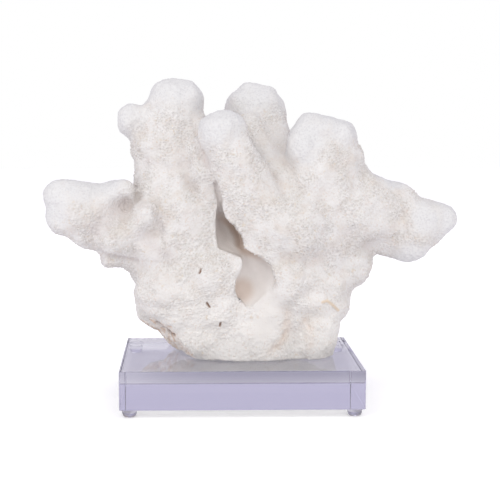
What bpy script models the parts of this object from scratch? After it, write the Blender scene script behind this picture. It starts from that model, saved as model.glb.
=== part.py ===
"""White branching coral standing on a clear acrylic block with four clear rubber feet.

The coral is one grown skeleton, so it is shaped as one body: tubes along the branches and rounded
lumps for the knobs are fused, its hollow is carved out, and its foot is cut flat. It is then parted
at its main forks by thin saw cuts, so each branch is a solid of its own.

Sizes in the tables are millimetres: X to the right, Y away from the front, Z up, from the middle
of the block's top face. At the end the whole object is moved so that the origin is on the table,
under the middle of the object.
"""

import math

import bmesh
import bpy
import numpy as np
from mathutils import Matrix, Vector, noise

MM = 0.001

# The stand
BLOCK_WIDTH = 200.0
BLOCK_DEPTH = 150.0
BLOCK_THICKNESS = 32.0
BLOCK_EDGE = 1.2
FOOT_DIAMETER = 12.5
FOOT_FLAT_DIAMETER = 7.5
FOOT_HEIGHT = 6.5
FOOT_INSET = 8.0
BLOCK_TOP = FOOT_HEIGHT + BLOCK_THICKNESS

# How the coral is made
TOUCH_GAP = 0.3
SAW_WIDTH = 0.3
VOXEL = 2.4
RING_SPACING = 5.0
RING_POINTS = 20
SMOOTHING_PASSES = 6
CORAL_TRIANGLES = 6300
LUMP_SPACING = 15.0
LUMP_HEIGHT = 1.3

# Stations along each branch, from where it grows to its tip:
# x, y, z, half width across the front view, half depth front to back
BRANCHES = {
    "base": [
        (22, 6, -8, 50, 38),
        (15, 5, 10, 66, 42),
        (8, 5, 24, 75, 45),
        (4, 5, 38, 80, 46),
        (5, 4, 52, 86, 46),
        (9, 2, 68, 90, 42),
        (12, 2, 80, 84, 36),
    ],
    "rim": [
        (-78, -2, 30, 4, 6),
        (-69, -8, 20, 5, 8),
        (-57, -18, 8, 5, 8),
        (-42, -26, 1, 5, 8),
    ],
    "upper_left": [
        (-60, 4, 71, 34, 34),
        (-61, 2, 94, 33, 33),
        (-59, 0, 129, 32, 30),
        (-59, 0, 159, 31, 28),
        (-58, 2, 184, 29, 26),
        (-56, 4, 205, 26, 26),
        (-55, 5, 218, 24, 24),
        (-54, 5, 226, 20, 21),
    ],
    "left_arm": [
        (-58, 2, 80, 29, 32),
        (-85, -2, 95, 26, 28),
        (-106, -8, 110, 25, 26),
        (-125, -12, 122, 26, 25),
        (-141, -14, 128, 24, 23),
        (-147, -14, 129, 20, 20),
    ],
    "front": [
        (37, -14, 74, 25, 28),
        (23, -26, 106, 28, 24),
        (11, -32, 131, 27, 20),
        (-1, -36, 154, 24, 18),
        (-11, -39, 177, 20, 18),
        (-16, -40, 190, 19, 18),
    ],
    "back": [
        (40, 14, 97, 28, 28),
        (35, 24, 122, 24, 22),
        (26, 34, 161, 25, 20),
        (18, 37, 192, 26, 21),
        (14, 38, 207, 27, 20),
    ],
    "upper_right": [
        (56, -2, 71, 36, 38),
        (67, -8, 104, 35, 32),
        (69, -14, 134, 33, 26),
        (69, -18, 161, 31, 24),
        (71, -18, 176, 28, 22),
    ],
    "right_arm": [
        (74, 2, 103, 33, 32),
        (91, 2, 122, 34, 28),
        (111, 2, 122, 33, 25),
        (129, 0, 117, 32, 22),
        (145, -2, 111, 28, 20),
        (160, -2, 114, 22, 17),
        (173, -2, 117, 16, 14),
        (180, -2, 118, 11, 11),
    ],
    "back_left_stub": [
        (-34, 26, 66, 26, 24),
        (-40, 42, 90, 22, 20),
        (-46, 52, 112, 18, 16),
    ],
    "back_right_stub": [
        (58, 26, 78, 26, 24),
        (64, 42, 104, 21, 20),
        (72, 52, 128, 17, 16),
    ],
}

# Knobs and bulges on the branches: x, y, z, radius in x, y and z
KNOBS = [
    (-90, 2, 200, 15, 17, 15),
    (-78, 2, 188, 15, 17, 15),
    (-79, 0, 180, 15, 18, 15),
    (-74, 0, 165, 15, 20, 18),
    (-44, 4, 217, 14, 20, 18),
    (-63, 4, 215, 16, 20, 17),
    (-34, 0, 160, 12, 20, 16),
    (-38, 2, 194, 12, 20, 18),
    (-149, -14, 137, 17, 18, 16),
    (-148, -14, 120, 17, 18, 15),
    (-107, -14, 138, 15, 18, 14),
    (-128, -14, 136, 15, 18, 15),
    (-130, -14, 107, 13, 17, 14),
    (-102, -28, 105, 17, 16, 15),
    (-81, -26, 123, 12, 14, 11),
    (-111, 0, 84, 8, 12, 8),
    (-98, -2, 86, 14, 18, 11),
    (-58, -22, 63, 30, 24, 25),
    (-21, -34, 70, 19, 16, 21),
    (-36, -18, 26, 32, 22, 22),
    (19, -20, 31, 24, 20, 25),
    (63, -16, 22, 22, 22, 24),
    (72, -16, 62, 22, 24, 19),
    (88, 0, 79, 26, 28, 22),
    (76, 2, 52, 18, 30, 20),
    (39, -34, 114, 37, 20, 30),
    (91, -14, 122, 29, 24, 29),
    (-49, -16, 122, 27, 22, 30),
    (-68, -22, 93, 22, 20, 17),
    (59, -18, 194, 14, 18, 14),
    (73, -17, 192, 13, 18, 13),
    (86, -16, 188, 13, 18, 14),
    (50, -24, 178, 14, 16, 20),
    (92, -10, 168, 13, 18, 15),
    (103, -4, 149, 16, 18, 13),
    (126, 0, 139, 12, 14, 10),
    (145, -2, 94, 19, 16, 15),
    (15, 38, 207, 28, 20, 26),
    (-16, -40, 191, 20, 18, 19),
    (-10, 18, 127, 27, 16, 38),
    (-44, -12, 92, 36, 25, 32),
    (-70, -13, 113, 20, 20, 22),
    (36, -30, 70, 20, 20, 24),
    (-10, -16, 48, 40, 26, 26),
    (-62, 34, 46, 30, 22, 30),
    (0, 42, 38, 36, 18, 30),
    (58, 36, 46, 32, 22, 30),
    (20, 34, 78, 30, 20, 26),
    (-62, 24, 124, 26, 18, 24),
    (94, 20, 112, 28, 20, 24),
]

# The hollow between the left stem and the front branch, as stations like a branch's
HOLLOW = [
    (-23, -28, 166, 2, 28),
    (-20, -28, 150, 3, 30),
    (-16, -26, 135, 6, 32),
    (-8, -26, 117, 10, 32),
    (-6, -26, 101, 11, 28),
    (2, -34, 89, 11, 24),
    (12, -38, 77, 14, 24),
    (13, -40, 66, 14, 24),
    (7, -44, 57, 9, 18),
]

# Saw cuts at the main forks: middle x, z; direction of the cut across the front view, in degrees
# above the X axis; outline of the blade, as pairs of distance along that direction and y
SAW_CUTS = [
    (-93, 112, 86.5, [(-47, -56), (47, -56), (47, 44), (-47, 44)]),
    (-57, 159, 15, [(-42, -42), (42, -42), (42, 46), (-42, 46)]),
    (7, 139, 45, [(-36, -64), (36, -64), (36, -7), (-36, -7)]),
    (25, 176, 15, [(-38, 8), (38, 8), (38, 64), (-38, 64)]),
    (69, 155, 19.7, [(-42, -48), (42, -48), (42, 14), (-42, 14)]),
    (113, 126, 94.3, [(-40, -44), (40, -44), (40, 44), (-40, 44)]),
    (5, 47, 0, [(-115, -75), (115, -75), (115, 75), (-115, 75)]),
    (0.5, 82, 105, [(-37.5, -66), (32, -66), (32, -5), (88, -5), (88, 66), (-37.5, 66)]),
]

# A point near the middle of each parted solid, which gives the solid its name
SOLID_AT = {
    "coral_base": (8, 5, 25),
    "left_stem": (-50, 0, 100),
    "right_stem": (60, 0, 100),
    "left_arm": (-128, -14, 120),
    "upper_left_branch": (-60, 2, 195),
    "front_branch": (-6, -38, 172),
    "back_branch": (20, 36, 190),
    "upper_right_branch": (72, -16, 176),
    "right_arm": (145, -2, 114),
}


def clear_scene():
    for obj in list(bpy.data.objects):
        bpy.data.objects.remove(obj)


def new_object(name, mesh):
    obj = bpy.data.objects.new(name, mesh)
    bpy.context.scene.collection.objects.link(obj)
    return obj


def mesh_from(name, points, faces):
    """A mesh from points in millimetres."""
    mesh = bpy.data.meshes.new(name)
    mesh.from_pydata([tuple(float(c) * MM for c in p) for p in points], [], faces)
    mesh.update()
    return mesh


def material(name, colour, roughness, transmission=0.0, ior=1.45):
    made = bpy.data.materials.new(name)
    made.use_nodes = True
    shader = made.node_tree.nodes["Principled BSDF"]
    shader.inputs["Base Color"].default_value = (*colour, 1.0)
    shader.inputs["Roughness"].default_value = roughness
    shader.inputs["Metallic"].default_value = 0.0
    shader.inputs["Transmission Weight"].default_value = transmission
    shader.inputs["IOR"].default_value = ior
    return made


def apply_modifiers(obj):
    """Turns the object's modifiers into its mesh."""
    graph = bpy.context.evaluated_depsgraph_get()
    made = bpy.data.meshes.new_from_object(obj.evaluated_get(graph))
    obj.modifiers.clear()
    obj.data = made


def smooth_rows(stations, spacing):
    """Stations closer together, on a smooth curve through the given ones (Catmull-Rom)."""
    rows = np.array(stations, float)
    rows = np.vstack([2 * rows[0] - rows[1], rows, 2 * rows[-1] - rows[-2]])
    found = []
    for before, start, end, after in zip(rows, rows[1:], rows[2:], rows[3:]):
        steps = max(1, round(np.linalg.norm(end[:3] - start[:3]) / spacing))
        for t in np.arange(steps) / steps:
            found.append(
                0.5
                * (
                    2 * start
                    + (end - before) * t
                    + (2 * before - 5 * start + 4 * end - after) * t**2
                    + (3 * start - before - 3 * end + after) * t**3
                )
            )
    return np.array([*found, rows[-2]])


def tube(name, stations):
    """A closed tube of elliptic rings along the stations, with domed ends."""
    rows = smooth_rows(stations, RING_SPACING)
    along = np.gradient(rows[:, :3], axis=0)
    along /= np.linalg.norm(along, axis=1, keepdims=True)
    rings = []
    dome = [math.radians(a) for a in (75, 50, 25)]
    ends = (
        [(0, -math.sin(a), math.cos(a)) for a in dome],
        [(i, 0.0, 1.0) for i in range(len(rows))],
        [(-1, math.sin(a), math.cos(a)) for a in reversed(dome)],
    )
    turn = np.arange(RING_POINTS) * 2 * math.pi / RING_POINTS
    for index, out, share in (entry for part in ends for entry in part):
        middle, width, depth = rows[index, :3], rows[index, 3], rows[index, 4]
        side = np.cross(along[index], (0, 1, 0))
        side /= np.linalg.norm(side)
        back = np.cross(side, along[index])
        height = 0.5 * min(width, depth)
        rings.append(
            middle
            + along[index] * out * height
            + np.outer(np.cos(turn), side) * width * share
            + np.outer(np.sin(turn), back) * depth * share
        )
    points = np.vstack(rings)
    count = len(rings)
    faces = [tuple(range(RING_POINTS))[::-1]]
    for ring in range(count - 1):
        for i in range(RING_POINTS):
            j = (i + 1) % RING_POINTS
            low, high = ring * RING_POINTS, (ring + 1) * RING_POINTS
            faces.append((low + i, low + j, high + j, high + i))
    faces.append(tuple(range((count - 1) * RING_POINTS, count * RING_POINTS)))
    mesh = mesh_from(name, points, faces)
    shape = bmesh.new()
    shape.from_mesh(mesh)
    bmesh.ops.recalc_face_normals(shape, faces=shape.faces)
    shape.to_mesh(mesh)
    shape.free()
    return mesh


def knob(name, x, y, z, radius_x, radius_y, radius_z):
    """An ellipsoid."""
    shape = bmesh.new()
    size = Matrix.Diagonal((radius_x * MM, radius_y * MM, radius_z * MM, 1.0))
    place = Matrix.Translation(Vector((x, y, z)) * MM)
    bmesh.ops.create_icosphere(shape, subdivisions=3, radius=1.0, matrix=place @ size)
    mesh = bpy.data.meshes.new(name)
    shape.to_mesh(mesh)
    shape.free()
    return mesh


def joined(name, meshes):
    """One mesh that holds all the given ones, still overlapping."""
    shape = bmesh.new()
    for mesh in meshes:
        shape.from_mesh(mesh)
    made = bpy.data.meshes.new(name)
    shape.to_mesh(made)
    shape.free()
    return made


def box(name, size, middle):
    """A box with its sides along the axes."""
    shape = bmesh.new()
    place = Matrix.Translation(Vector(middle) * MM)
    scale = Matrix.Diagonal((*(length * MM for length in size), 1.0))
    bmesh.ops.create_cube(shape, size=1.0, matrix=place @ scale)
    mesh = bpy.data.meshes.new(name)
    shape.to_mesh(mesh)
    shape.free()
    return mesh


def blade(x, z, angle, outline):
    """A flat saw blade SAW_WIDTH thick, standing across the front view."""
    count = len(outline)
    sides = [(u, y, h) for h in (-SAW_WIDTH / 2, SAW_WIDTH / 2) for u, y in outline]
    place = Matrix.Translation((x, 0, z)) @ Matrix.Rotation(-math.radians(angle), 4, "Y")
    faces = [tuple(range(count))[::-1], tuple(range(count, 2 * count))]
    faces += [(i, (i + 1) % count, (i + 1) % count + count, i + count) for i in range(count)]
    return mesh_from("blade", [place @ Vector(point) for point in sides], faces)


def fuse(obj):
    """Makes one skin of the overlapping shapes in the object."""
    remesh = obj.modifiers.new("fuse", "REMESH")
    remesh.mode = "VOXEL"
    remesh.voxel_size = VOXEL * MM
    apply_modifiers(obj)


def cut(obj, cutter_mesh, name):
    """Takes the cutter's shape away from the object."""
    cutter = new_object(name, cutter_mesh)
    cutter.hide_render = True
    cutter.display_type = "WIRE"
    boolean = obj.modifiers.new(name, "BOOLEAN")
    boolean.operation = "DIFFERENCE"
    boolean.object = cutter
    apply_modifiers(obj)
    bpy.data.objects.remove(cutter)


def raise_lumps(obj):
    """Swells and sinks the skin along its normals, in lumps about LUMP_SPACING wide."""
    vertices = obj.data.vertices
    lumps = [noise.noise(vertex.co / (LUMP_SPACING * MM)) for vertex in vertices]
    moves = [vertex.normal * (2 * LUMP_HEIGHT * MM * lump) for vertex, lump in zip(vertices, lumps)]
    for vertex, move in zip(vertices, moves):
        vertex.co += move
    obj.data.update()


def soften(obj, passes):
    smooth = obj.modifiers.new("soften", "SMOOTH")
    smooth.factor = 0.5
    smooth.iterations = passes
    apply_modifiers(obj)


def reduce_to(obj, triangles):
    """Merges small faces where the surface is flattest, down to this many triangles."""
    obj.data.calc_loop_triangles()
    decimate = obj.modifiers.new("reduce", "DECIMATE")
    decimate.ratio = triangles / len(obj.data.loop_triangles)
    decimate.use_collapse_triangulate = True
    apply_modifiers(obj)


def coral_body():
    """The whole coral as one closed skin, before it is parted at its forks."""
    shapes = [tube(name, stations) for name, stations in BRANCHES.items()]
    shapes += [knob("knob", *row) for row in KNOBS]
    coral = new_object("coral", joined("coral", shapes))
    fuse(coral)
    cut(coral, tube("hollow", HOLLOW), "hollow")
    fuse(coral)
    raise_lumps(coral)
    soften(coral, SMOOTHING_PASSES)
    reduce_to(coral, CORAL_TRIANGLES)
    cut(coral, box("below", (500, 300, 80), (0, 0, TOUCH_GAP - 40)), "below")
    return coral


def saw(obj):
    """Parts the coral at its main forks, each cut SAW_WIDTH wide."""
    for number, row in enumerate(SAW_CUTS):
        cut(obj, blade(*row), f"cut_{number}")


def loose_parts(mesh):
    """The separate closed bodies of a mesh, as lists of face indices."""
    shape = bmesh.new()
    shape.from_mesh(mesh)
    left = set(shape.faces)
    found = []
    while left:
        todo = [left.pop()]
        part = list(todo)
        while todo:
            face = todo.pop()
            for edge in face.edges:
                for other in edge.link_faces:
                    if other in left:
                        left.remove(other)
                        todo.append(other)
                        part.append(other)
        found.append([face.index for face in part])
    shape.free()
    return found


def part_mesh(mesh, name, faces):
    """A copy of only these faces of the mesh."""
    shape = bmesh.new()
    shape.from_mesh(mesh)
    keep = set(faces)
    shape.faces.ensure_lookup_table()
    gone = [face for face in shape.faces if face.index not in keep]
    bmesh.ops.delete(shape, geom=gone, context="FACES")
    bmesh.ops.triangulate(shape, faces=shape.faces)
    made = bpy.data.meshes.new(name)
    shape.to_mesh(made)
    shape.free()
    return made


def nearest_name(mesh, taken):
    """The name whose point is nearest to the mesh's surface and inside its box."""
    points = np.array([vertex.co for vertex in mesh.vertices])
    low, high = points.min(axis=0), points.max(axis=0)
    middle = (low + high) / 2
    free = {name: np.array(at) * MM for name, at in SOLID_AT.items() if name not in taken}
    return min(free, key=lambda name: np.linalg.norm(free[name] - middle))


def coral_solids():
    coral = coral_body()
    saw(coral)
    mesh = coral.data
    skeleton = material("coral_skeleton", (0.86, 0.83, 0.80), 0.9)
    parts = sorted(loose_parts(mesh), key=len, reverse=True)
    print("coral parts:", [len(part) for part in parts])
    made = []
    for faces in parts[: len(SOLID_AT)]:
        piece = part_mesh(mesh, "coral_part", faces)
        name = nearest_name(piece, {obj.name for obj in made})
        piece.name = name
        piece.materials.clear()
        piece.materials.append(skeleton)
        solid = new_object(name, piece)
        solid.location.z = BLOCK_TOP * MM
        made.append(solid)
    bpy.data.objects.remove(coral)
    return made


def acrylic_block():
    """The clear block: a cut and flame-polished slab with its edges eased."""
    size = (BLOCK_WIDTH, BLOCK_DEPTH, BLOCK_THICKNESS)
    block = new_object("acrylic_block", box("acrylic_block", size, (0, 0, 0)))
    block.location.z = (FOOT_HEIGHT + BLOCK_THICKNESS / 2) * MM
    bevel = block.modifiers.new("eased edges", "BEVEL")
    bevel.width = BLOCK_EDGE * MM
    bevel.segments = 3
    block.data.materials.append(material("clear_acrylic", (0.93, 0.92, 0.97), 0.03, 1.0, 1.49))
    return block


def rubber_foot(name, x, y, finish):
    """A domed bumper: the profile is turned about its own axis, flat where it stands."""
    rim, flat = FOOT_DIAMETER / 2, FOOT_FLAT_DIAMETER / 2
    arc = [math.radians(a) for a in (0, 30, 60, 90)]
    profile = [(0.0, 0.0)]
    profile += [
        (flat + (rim - flat) * math.sin(a), (FOOT_HEIGHT - 0.6) * (1 - math.cos(a))) for a in arc
    ]
    profile += [(rim, FOOT_HEIGHT - TOUCH_GAP), (0.0, FOOT_HEIGHT - TOUCH_GAP)]
    shape = bmesh.new()
    line = [shape.verts.new((r * MM, 0, z * MM)) for r, z in profile]
    edges = [shape.edges.new(pair) for pair in zip(line, line[1:])]
    bmesh.ops.spin(
        shape,
        geom=line + edges,
        axis=(0, 0, 1),
        cent=(0, 0, 0),
        angle=2 * math.pi,
        steps=18,
        use_merge=True,
    )
    bmesh.ops.remove_doubles(shape, verts=shape.verts, dist=0.01 * MM)
    bmesh.ops.recalc_face_normals(shape, faces=shape.faces)
    mesh = bpy.data.meshes.new(name)
    shape.to_mesh(mesh)
    shape.free()
    mesh.materials.append(finish)
    foot = new_object(name, mesh)
    foot.location = Vector((x, y, 0)) * MM
    return foot


def rubber_feet():
    finish = material("clear_rubber", (0.85, 0.85, 0.87), 0.2, 0.9, 1.5)
    across = BLOCK_WIDTH / 2 - FOOT_INSET
    along = BLOCK_DEPTH / 2 - FOOT_INSET
    corners = {
        "foot_front_left": (-across, -along),
        "foot_front_right": (across, -along),
        "foot_back_left": (-across, along),
        "foot_back_right": (across, along),
    }
    return [rubber_foot(name, x, y, finish) for name, (x, y) in corners.items()]


def corners_of(objects):
    """Lowest and highest corner of these objects as they are shown."""
    bpy.context.view_layer.update()
    graph = bpy.context.evaluated_depsgraph_get()
    points = []
    for obj in objects:
        shown = obj.evaluated_get(graph)
        points += [shown.matrix_world @ vertex.co for vertex in shown.data.vertices]
    points = np.array(points)
    return points.min(axis=0), points.max(axis=0)


def put_origin_under_middle(objects):
    """Moves everything so that the middle of the footprint, on the table, is the origin."""
    low, high = corners_of(objects)
    move = Vector((-(low[0] + high[0]) / 2, -(low[1] + high[1]) / 2, -low[2]))
    for obj in objects:
        obj.location += move
    print("moved by", [round(c / MM, 2) for c in move], "mm")


def main():
    clear_scene()
    objects = coral_solids()
    objects.append(acrylic_block())
    objects += rubber_feet()
    put_origin_under_middle(objects)


main()
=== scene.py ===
# %% [markdown]
# # Branching coral on a clear acrylic block
#
# A bleached coral stands with its flat-cut foot on a polished acrylic block, which rests on four
# domed rubber feet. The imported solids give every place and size. This script lays the real surfaces
# over them: the coral's granular skin with its small cups, the clear block and the rubber feet.

# %% Load the solids as a fixed frame
import itertools
import math

import bmesh
import bpy
import numpy as np
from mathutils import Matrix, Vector


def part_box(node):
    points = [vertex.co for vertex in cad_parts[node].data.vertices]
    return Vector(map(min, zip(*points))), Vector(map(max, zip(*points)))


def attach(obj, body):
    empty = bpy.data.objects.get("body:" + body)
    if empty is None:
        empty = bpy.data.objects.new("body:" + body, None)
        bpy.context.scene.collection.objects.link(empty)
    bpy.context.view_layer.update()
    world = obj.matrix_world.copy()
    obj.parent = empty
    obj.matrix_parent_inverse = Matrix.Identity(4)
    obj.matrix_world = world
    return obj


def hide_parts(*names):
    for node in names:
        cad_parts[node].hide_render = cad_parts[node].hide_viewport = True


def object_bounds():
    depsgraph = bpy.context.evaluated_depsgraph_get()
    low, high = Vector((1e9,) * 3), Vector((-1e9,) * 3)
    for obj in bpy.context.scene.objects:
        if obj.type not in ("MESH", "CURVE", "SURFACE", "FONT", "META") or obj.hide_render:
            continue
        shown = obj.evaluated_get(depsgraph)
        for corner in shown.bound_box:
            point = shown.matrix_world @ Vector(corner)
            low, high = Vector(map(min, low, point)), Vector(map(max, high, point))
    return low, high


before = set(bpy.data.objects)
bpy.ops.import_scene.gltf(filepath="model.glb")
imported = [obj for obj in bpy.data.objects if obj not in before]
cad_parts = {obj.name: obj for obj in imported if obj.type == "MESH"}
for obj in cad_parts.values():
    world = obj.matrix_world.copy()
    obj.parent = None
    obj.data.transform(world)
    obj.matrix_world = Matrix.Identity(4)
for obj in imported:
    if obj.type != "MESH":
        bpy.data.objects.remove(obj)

solid_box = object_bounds()
print("solids:", sorted(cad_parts))

# %% [markdown]
# ## Where things are measured from
#
# Every size below is in millimetres, in axes that start at the middle of the block's top face: X to
# the right, Y away from the front, Z up. It is the frame that the coral was modelled in, so a place
# on the coral stays readable, and one addition takes it to the frame of the solids.

# %% The middle of the block's top face
MM = 0.001
block_low, block_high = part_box("acrylic_block")
STAND = np.array([(block_low.x + block_high.x) / 2, (block_low.y + block_high.y) / 2, block_high.z])


def placed(points):
    """Points in millimetres over the block, as metres in the frame of the solids: p * MM + STAND."""
    return np.asarray(points, float) * MM + STAND


print("middle of the block's top, in metres:", STAND.round(4))

# %% [markdown]
# ## Arrays in, arrays out
#
# The surfaces are worked out as whole arrays, because a loop over half a million points in Python
# would take minutes. Three helpers carry arrays into a mesh and back. A mesh stores its corners as
# one long list, so faces with the same number of corners are just a table.

# %% Helpers that carry arrays into a mesh and back
def mesh_of(name, points, faces):
    """A mesh from a table of points in metres and a table of faces with equally many corners."""
    mesh = bpy.data.meshes.new(name)
    mesh.vertices.add(len(points))
    mesh.vertices.foreach_set("co", np.ascontiguousarray(points, np.float32).ravel())
    mesh.loops.add(faces.size)
    mesh.loops.foreach_set("vertex_index", np.ascontiguousarray(faces, np.int32).ravel())
    mesh.polygons.add(len(faces))
    mesh.polygons.foreach_set("loop_start", np.arange(0, faces.size, faces.shape[1], dtype=np.int32))
    mesh.update(calc_edges=True)
    return mesh


def table_of(collection, field, width, kind=np.float32, per_item=None):
    """One field of a mesh's vertices, edges, loops or attribute data, as a table so many wide."""
    values = np.empty(len(collection) * (per_item or width), kind)
    collection.foreach_get(field, values)
    return values.reshape(-1, width) if width > 1 else values


def corners_of(mesh, width):
    """The mesh's faces, all with this many corners, as a table of point numbers."""
    return table_of(mesh.loops, "vertex_index", width, np.int32, per_item=1)


def shown(name, mesh):
    """An object in the scene that carries the mesh."""
    made = bpy.data.objects.new(name, mesh)
    bpy.context.scene.collection.objects.link(made)
    return made


def evaluated(name, mesh, *modifiers):
    """The mesh after the modifiers, each given as its type and a dictionary of settings."""
    carrier = shown(name, mesh)
    for kind, settings in modifiers:
        modifier = carrier.modifiers.new(kind.lower(), kind)
        for key, value in settings.items():
            setattr(modifier, key, value)
    graph = bpy.context.evaluated_depsgraph_get()
    made = bpy.data.meshes.new_from_object(carrier.evaluated_get(graph))
    bpy.data.objects.remove(carrier)
    return made


# %% [markdown]
# ## One skin over all the branches
#
# The coral is one skeleton, but its solids are parted by thin saw cuts at the forks. A copy of each
# is swollen by less than half a millimetre, so that the copies overlap and the cuts close. A voxel
# remesh then makes one even skin of them. Its small equal faces suit fine detail, which the long
# triangles of the solids don't.

# %% Fuse swollen copies of the coral's solids
CORAL_NODES = (
    "coral_base",
    "left_stem",
    "right_stem",
    "left_arm",
    "upper_left_branch",
    "front_branch",
    "back_branch",
    "upper_right_branch",
    "right_arm",
)
VOXEL = 2.4
SWELL = 0.4


def swollen_copy(node):
    """The node's points, each moved SWELL along its normal, and its triangles."""
    shape = bmesh.new()
    shape.from_mesh(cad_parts[node].data)
    bmesh.ops.remove_doubles(shape, verts=shape.verts, dist=0.001 * MM)
    mesh = bpy.data.meshes.new("copy")
    shape.to_mesh(mesh)
    shape.free()
    points = table_of(mesh.vertices, "co", 3) + SWELL * MM * table_of(mesh.vertices, "normal", 3)
    corners = corners_of(mesh, 3)
    bpy.data.meshes.remove(mesh)
    return points, corners


def fused(parts):
    """One mesh from many points and triangles: each part's corners are counted on from the last."""
    starts = np.cumsum([0] + [len(points) for points, _ in parts])
    points = np.vstack([points for points, _ in parts])
    corners = np.vstack([corners + start for (_, corners), start in zip(parts, starts)])
    return mesh_of("fused", points, corners)


def remesh(voxel):
    return ("REMESH", {"mode": "VOXEL", "voxel_size": voxel * MM})


copies = [swollen_copy(node) for node in CORAL_NODES]
print("copies:", len(copies), "with", sum(len(points) for points, _ in copies), "points")

# %% [markdown]
# ## The hollow between the stems
#
# A thin plate of the right stem hangs over a deep hollow, and a rounded lip of the left stem closes
# it from below. Two slabs make it, both worked out from one table of rows, each of which runs from
# the hollow's left edge to its right one. The first slab reaches past the edges and fills the
# solids' wide groove up to the skin. The second, between the edges, is taken away again, which
# leaves crisp edges and a back wall of the right depth.

# %% Rows across the hollow, from the slot's top to the pocket's foot
# x and z of the left edge, x and z of the right edge, y of the skin at either edge, and y of the
# back wall at the left, in the middle and at the right
HOLLOW = np.array(
    [
        (-23.0, 160.0, -22.2, 160.0, -42, -50, -42, -42, -42),
        (-22.4, 151.5, -20.0, 151.5, -38, -49, -34, -35, -35),
        (-21.2, 142.0, -16.4, 143.6, -34, -49, -29, -31, -31),
        (-18.9, 133.8, -14.4, 136.2, -33, -48, -28, -29, -29),
        (-20.0, 126.4, -15.4, 128.8, -33, -47, -24, -21, -18),
        (-20.9, 118.1, -13.2, 121.4, -32, -47, -18, -11, -7),
        (-20.6, 110.7, -4.5, 113.1, -32, -47, -17, -9, -4),
        (-19.7, 102.4, 1.3, 104.8, -32, -46, -21, -13, -6),
        (-18.4, 95.5, 2.2, 97.4, -34, -46, -26, -20, -12),
        (-9.4, 92.0, 4.7, 94.9, -38, -46, -27, -22, -17),
        (0.4, 89.0, 8.8, 92.4, -42, -47, -26, -23, -20),
        (1.4, 84.1, 15.4, 89.0, -44, -46, -27, -24, -24),
        (-1.1, 78.3, 22.0, 84.0, -45, -45, -29, -24, -27),
        (-4.0, 70.8, 26.6, 76.5, -45, -45, -30, -24, -33),
        (-5.0, 63.3, 28.3, 69.0, -44, -45, -31, -26, -40),
        (-1.9, 55.7, 25.5, 61.5, -41, -42, -33, -31, -41),
        (3.9, 49.0, 17.2, 54.0, -41, -40, -37, -36, -40),
        (6.5, 47.0, 8.9, 47.5, -41, -40, -40, -39, -40),
    ],
    float,
)


def denser(table, steps):
    """The table with more rows: each column blended straight from one row to the next."""
    place = np.linspace(0, len(table) - 1, steps)
    columns = [np.interp(place, np.arange(len(table)), column) for column in table.T]
    return np.stack(columns, axis=1)


def row_points(rows, across):
    """Where each row is in the front view (x, z) at places across it: left edge plus share times the
    way to the right edge. Places below 0 or above 1 are that many millimetres past an edge, once 0
    or 1 is taken off."""
    left, right = rows[:, None, 0:2], rows[:, None, 2:4]
    way = right - left
    along = way / np.linalg.norm(way, axis=2, keepdims=True)
    share = np.clip(across, 0, 1)[None, :, None]
    past = (across - np.clip(across, 0, 1))[None, :, None]
    return left + share * way + past * along


def sheet_faces(grid):
    """The faces of a sheet, from its table of point numbers: each point with its neighbours to the
    right, to the lower right and below."""
    corners = [grid[:-1, :-1], grid[:-1, 1:], grid[1:, 1:], grid[1:, :-1]]
    return np.stack(corners, axis=-1).reshape(-1, 4)


def slab_between(flat, front, back):
    """A closed slab over a grid in the front view: the grid at depth front, the same grid at depth
    back, and a wall round the rim."""
    rows, columns = flat.shape[:2]
    sheets = [
        np.dstack([flat[..., 0], depth, flat[..., 1]]).reshape(-1, 3) for depth in (front, back)
    ]
    grid = np.arange(rows * columns).reshape(rows, columns)
    sheet = sheet_faces(grid)
    rim = np.concatenate([grid[0, :-1], grid[:-1, -1], grid[-1, :0:-1], grid[:0:-1, 0]])
    ahead = np.roll(rim, -1)
    wall = np.stack([ahead, rim, rim + rows * columns, ahead + rows * columns], axis=-1)
    quads = np.vstack([sheet, sheet[:, ::-1] + rows * columns, wall])
    return np.vstack(sheets), np.vstack([quads[:, [0, 1, 2]], quads[:, [0, 2, 3]]])


rows = denser(HOLLOW, 100)
# The cups at the plate's edge stand out as small teeth: a sine along the rows, a cup to each turn
TOOTH = 0.55
number = np.arange(len(rows))
rows[:, 2] += TOOTH * np.sin(2.5 * number) * np.interp(number, (0, 12, 75, 90), (0, 1, 1, 0))
PAST_EDGE, SUNK = 13.0, 1.2
inside = [0, 0.3, 0.49, 0.51, 0.7, 1]
across = np.array([-PAST_EDGE, -PAST_EDGE / 2, *inside, 1 + PAST_EDGE / 2, 1 + PAST_EDGE])
sink = SUNK * np.clip(np.abs(across - 0.5) / PAST_EDGE, 0, 1)
skin_depth = np.where(across < 0.5, rows[:, 4:5], rows[:, 5:6]) + sink
FILLED_TO = 8.0
filler_back = np.full_like(skin_depth, FILLED_TO)
filler, filler_corners = slab_between(row_points(rows, across), skin_depth, filler_back)
print("the hollow's rows:", len(rows), "from height", rows[0, 1], "to", rows[-1, 1], "mm")

# %% [markdown]
# ## Webs and knobs between the branches
#
# Where two branches fork, the skeleton has filled the corner with a smooth web. One runs out to the
# right arm, and the base is thickened in the same way; the left arm also carries two knobs. Rows of
# balls that overlap, fused with the rest, give all of them. The foot was sawn flat, which leaves a
# sharp lower edge: a second copy of the base, set lower, carries its sides on below the cut, so that
# the smoothing can't round that edge.

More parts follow.
